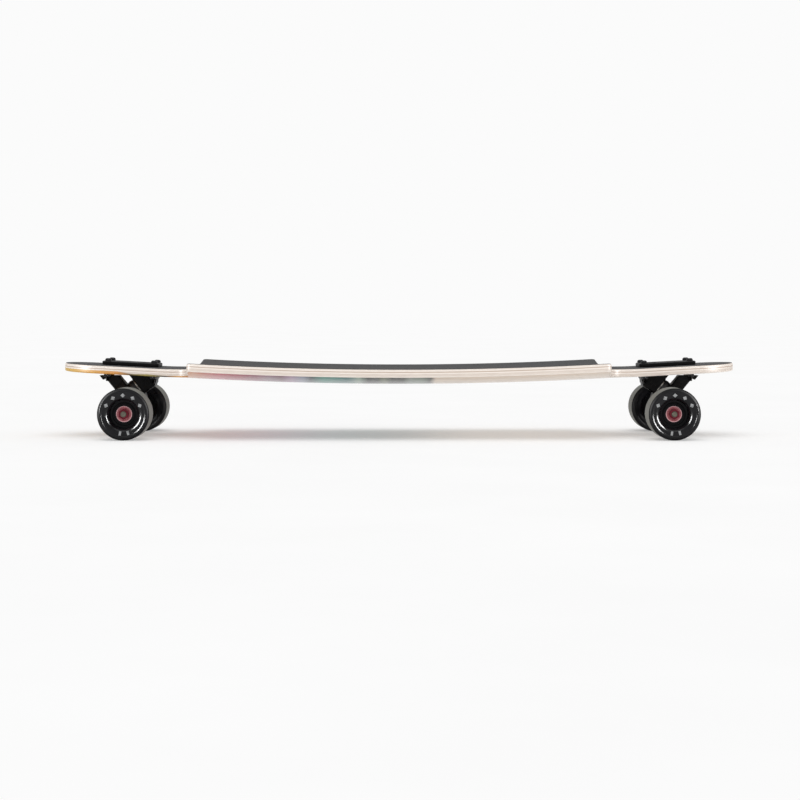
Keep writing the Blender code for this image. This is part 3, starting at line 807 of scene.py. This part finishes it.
def make_axle_nut(end, corner, turn):
    nut = hex_nut(f"{corner}_lock_nut", 12.6, 6, 4.15, (LOOKS["red_nut"], LOOKS["red_insert"]))
    node = f"{corner}_axle_nut"
    place(nut, stand_at(node, turn), f"{end}_hanger_body", [node])


def make_axle(end):
    """The axle: plain along its middle, threaded where the nuts go, with a domed, centre-drilled end."""
    pitch, plain, thread_end = 1.0, 114.5, 123.0
    half = [(0, 123.3), (0.7, 123.3), (1.1, 123.9), (3.1, 123.9), (3.5, 123.4)]
    height = thread_end
    while height > plain:
        half += [(3.88, height), (3.4, height - pitch / 2)]
        height -= pitch
    half.append((3.9, plain - 0.5))
    profile = [(r, z, 0) for r, z in half] + [(r, -z, 0) for r, z in reversed(half)]
    axle = lathe(f"{end}_axle_rod", profile, (LOOKS["axle"],), 40)
    node = f"{end}_axle"
    sideways = Matrix.Rotation(-math.pi / 2, 4, "X")
    place(axle, stand_at(node, sideways), f"{end}_hanger_body", [node])


def make_wheel(end, side):
    corner = f"{end}_{side}"
    tyre = f"{corner}_tyre"
    on_far_side = middle_of(tyre).y > 0
    turn = Matrix.Rotation(-math.pi / 2 if on_far_side else math.pi / 2, 4, "X")
    upright = turn @ Matrix.Rotation(math.pi if on_far_side else 0, 4, "Z")
    make_tyre(corner, stand_at(tyre, turn))
    make_marks(corner, stand_at(tyre, upright))
    make_core(corner, stand_at(tyre, turn))
    for name in ("outboard", "inboard"):
        make_bearing(corner, name, turn)
    make_axle_nut(end, corner, turn)


# Trucks and hardware

def soften(node, look, width):
    """Gives a CAD node its material and rounds its edges."""
    piece = frame["nodes"][node]
    piece.data.materials.clear()
    piece.data.materials.append(look)
    weld = piece.modifiers.new("Weld", "WELD")
    weld.merge_threshold = 0.01 * MM
    bevel = piece.modifiers.new("Edges", "BEVEL")
    bevel.width = width * MM
    bevel.segments = 2
    bevel.limit_method = "ANGLE"
    bevel.angle_limit = math.radians(38)
    bevel.harden_normals = False
    smooth = piece.modifiers.new("Normals", "WEIGHTED_NORMAL")
    smooth.keep_sharp = True


def make_bolt(node, tilt):
    """A domed socket screw with a threaded shank, its head at the top of its CAD solid."""
    head_height, shank, root, pitch = 3.7, 2.45, 2.05, 0.8
    thread_start, bottom = -15.5, -28.0
    profile = [
        (0, 1.3), (1.65, 1.3), (1.65, 3.45), (2.1, 3.62), (3.0, 3.4), (3.8, 2.75), (4.3, 1.9), (4.5, 1.0),
        (4.5, 0.15), (4.35, 0), (shank, 0),
    ]
    height = thread_start
    while height > bottom:
        profile += [(shank, height), (root, height - pitch / 2)]
        height -= pitch
    profile += [(1.9, bottom - 0.1), (0, bottom - 0.1)]
    bolt = lathe(f"{node}_screw", [(r, z, 0) for r, z in profile], (LOOKS["black_steel"],), 36)
    middle = middle_of(node)
    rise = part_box(node)[1][2] - middle.z - head_height * MM
    seat = Matrix.Translation(middle + tilt @ Vector((0, 0, rise)))
    place(bolt, seat @ tilt, "deck_and_trucks", [node])


def make_mounting_hardware(end):
    """Four screws down through baseplate and deck, with a lock nut under each."""
    tilt = Matrix.Rotation(NECK_SLOPE if end == "front" else -NECK_SLOPE, 4, "Y")
    upside_down = Matrix.Rotation(math.pi, 4, "X")
    for depth in ("inner", "outer"):
        for side in ("left", "right"):
            node = f"{end}_{depth}_{side}_bolt"
            make_bolt(node, tilt)
            nut = hex_nut(f"{node}_lock_nut", 8.6, 4.6, 2.6, (LOOKS["black_steel"], LOOKS["insert"]))
            stand = stand_at(f"{node}_nut", tilt @ upside_down)
            place(nut, stand, "deck_and_trucks", [f"{node}_nut"])


def make_bushing(end, side):
    """A barrel of soft urethane between its washer, which stays, and the hanger, which tilts."""
    node = f"{end}_bushing_{side}"
    outward = -1 if end == "front" else 1
    to_washer = Vector((outward * math.cos(STEER_TILT), 0, -math.sin(STEER_TILT)))
    if side == "boardside":
        to_washer = -to_washer
    half, rows, barrel, corner = BUSHING_LENGTH / 2, 10, 1.0, 0.7
    outer, inner = [], []
    for i in range(rows + 1):
        t = 1 - 2 * i / rows
        radius = BUSHING_RADIUS - barrel * t * t
        outer.append((radius - corner if abs(t) == 1 else radius, half * t, 0))
        inner.append((KINGPIN_BORE, -half * t, 0))
    bushing = lathe(f"{end}_{side}_bushing", outer + inner, (LOOKS["bushing"],), 48, ring=True)
    middle = middle_of(node)
    turn = to_washer.to_track_quat("Z", "Y").to_matrix().to_4x4()
    bushing.data.transform(Matrix.Translation(middle) @ turn)
    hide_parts(node)
    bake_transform(bushing)


def make_ribs(end):
    """Four short raised bars in the casting on each side of the baseplate's block."""
    outward = -1 if end == "front" else 1
    first, pitch, count = AXLE_DISTANCE - 27.5, 5, 4
    side_face, middle_height = 14.1, 74.5
    size = Matrix.Diagonal((1.8 * MM, 1.0 * MM, 9 * MM, 1))
    bm = bmesh.new()
    for side in (-1, 1):
        for i in range(count):
            spot = Vector((outward * (first + pitch * i), side * side_face, middle_height)) * MM
            bar = bmesh.ops.create_cube(bm, size=1, matrix=Matrix.Translation(spot) @ size)
            edges = {edge for vert in bar["verts"] for edge in vert.link_edges}
            bmesh.ops.bevel(bm, geom=list(edges), offset=0.35 * MM, segments=2, affect="EDGES", profile=0.5)
    ribs = link(f"{end}_cast_ribs", mesh_from(bm, f"{end}_cast_ribs"))
    ribs.data.materials.append(LOOKS["cast"])
    place(ribs, Matrix(), "deck_and_trucks")


def make_trucks():
    for end in ("front", "rear"):
        make_ribs(end)
        soften(f"{end}_baseplate", LOOKS["cast"], 0.45)
        soften(f"{end}_hanger", LOOKS["cast"], 0.6)
        for side in ("boardside", "roadside"):
            make_bushing(end, side)
            soften(f"{end}_washer_{side}", LOOKS["steel"], 0.3)
        soften(f"{end}_kingpin", LOOKS["steel"], 0.4)
        soften(f"{end}_kingpin_nut", LOOKS["steel"], 0.4)
        soften(f"{end}_pivot_cup", LOOKS["nylon"], 0.2)
        make_axle(end)
        make_mounting_hardware(end)
        for side in ("left", "right"):
            make_wheel(end, side)


# Studio

def make_floor():
    """A wide pale floor that glows a little, as paper on a light table does."""
    half_size = 40.0
    bm = bmesh.new()
    bmesh.ops.create_grid(bm, x_segments=8, y_segments=8, size=half_size)
    floor = link("studio_floor", mesh_from(bm, "studio_floor"))
    m = Maker("floor_paper", (0.71, 0.71, 0.71), 0.9, specular=0.0)
    m.colour(m.ramp(m.noise(3, 4), (0.3, (0.7, 0.7, 0.7)), (0.7, (0.72, 0.72, 0.72))))
    m.shader.inputs["Emission Color"].default_value = (1, 1, 1, 1)
    m.shader.inputs["Emission Strength"].default_value = 0.28
    floor.data.materials.append(m.material)


def make_world():
    """Even soft light from all round. The backdrop that the lens sees is as pale as the floor."""
    world = bpy.data.worlds.new("studio")
    world.use_nodes = True
    tree = world.node_tree
    background = tree.nodes["Background"]
    background.inputs["Color"].default_value = (1, 1, 1, 1)
    strength = tree.nodes.new("ShaderNodeMapRange")
    strength.inputs["To Min"].default_value = 0.6
    strength.inputs["To Max"].default_value = 0.965
    tree.links.new(tree.nodes.new("ShaderNodeLightPath").outputs["Is Camera Ray"], strength.inputs["Value"])
    tree.links.new(strength.outputs["Result"], background.inputs["Strength"])
    bpy.context.scene.world = world


def area_light(name, location, target, width, height, power):
    data = bpy.data.lights.new(name, "AREA")
    data.energy = power
    data.shape = "RECTANGLE"
    data.size = width
    data.size_y = height
    light = link(name, data)
    light.location = location
    light.rotation_euler = (Vector(target) - Vector(location)).to_track_quat("-Z", "Y").to_euler()
    light.visible_camera = False
    return light


def make_strips_and_fills():
    """Two tall strips that only the wheels and the deck mirror, and two weak fills for their sides."""
    lit = bpy.data.collections.new("strip_lit")
    for piece in bpy.context.scene.objects:
        if piece.name.endswith("_urethane") or piece.name == "pressed_deck":
            lit.objects.link(piece)
    for side, name in ((-1, "left"), (1, "right")):
        strip = area_light(f"{name}_strip", (side * 2.2, -1.6, 0.8), (side * 0.3, 0, 0.05), 0.7, 1.5, 420)
        strip.visible_diffuse = False
        strip.light_linking.receiver_collection = lit
        fill = area_light(f"{name}_fill", (side * 0.9, -0.8, 0.15), (side * 0.4, 0, 0.08), 0.5, 0.5, 1.4)
        fill.visible_glossy = False
        fill.light_linking.receiver_collection = lit


def make_studio():
    make_floor()
    make_world()
    sun_data = bpy.data.lights.new("overhead", "SUN")
    sun_data.energy = 1.15
    sun_data.angle = math.radians(60)
    sun = link("overhead", sun_data)
    sun.rotation_euler = (math.radians(8), 0, 0)
    make_strips_and_fills()
    bpy.context.scene.view_settings.view_transform = "Standard"


def make_camera():
    """Stands in front of the left side, a little above the deck, and looks slightly down."""
    data = bpy.data.cameras.new("camera")
    data.sensor_width = 36
    data.lens = 93.375
    camera = link("camera", data)
    camera.location = (0.0014, -2.896, 0.18)
    camera.rotation_euler = (math.radians(90 - 2.595), 0, 0)
    bpy.context.scene.camera = camera


make_deck()
make_trucks()
make_studio()
make_camera()
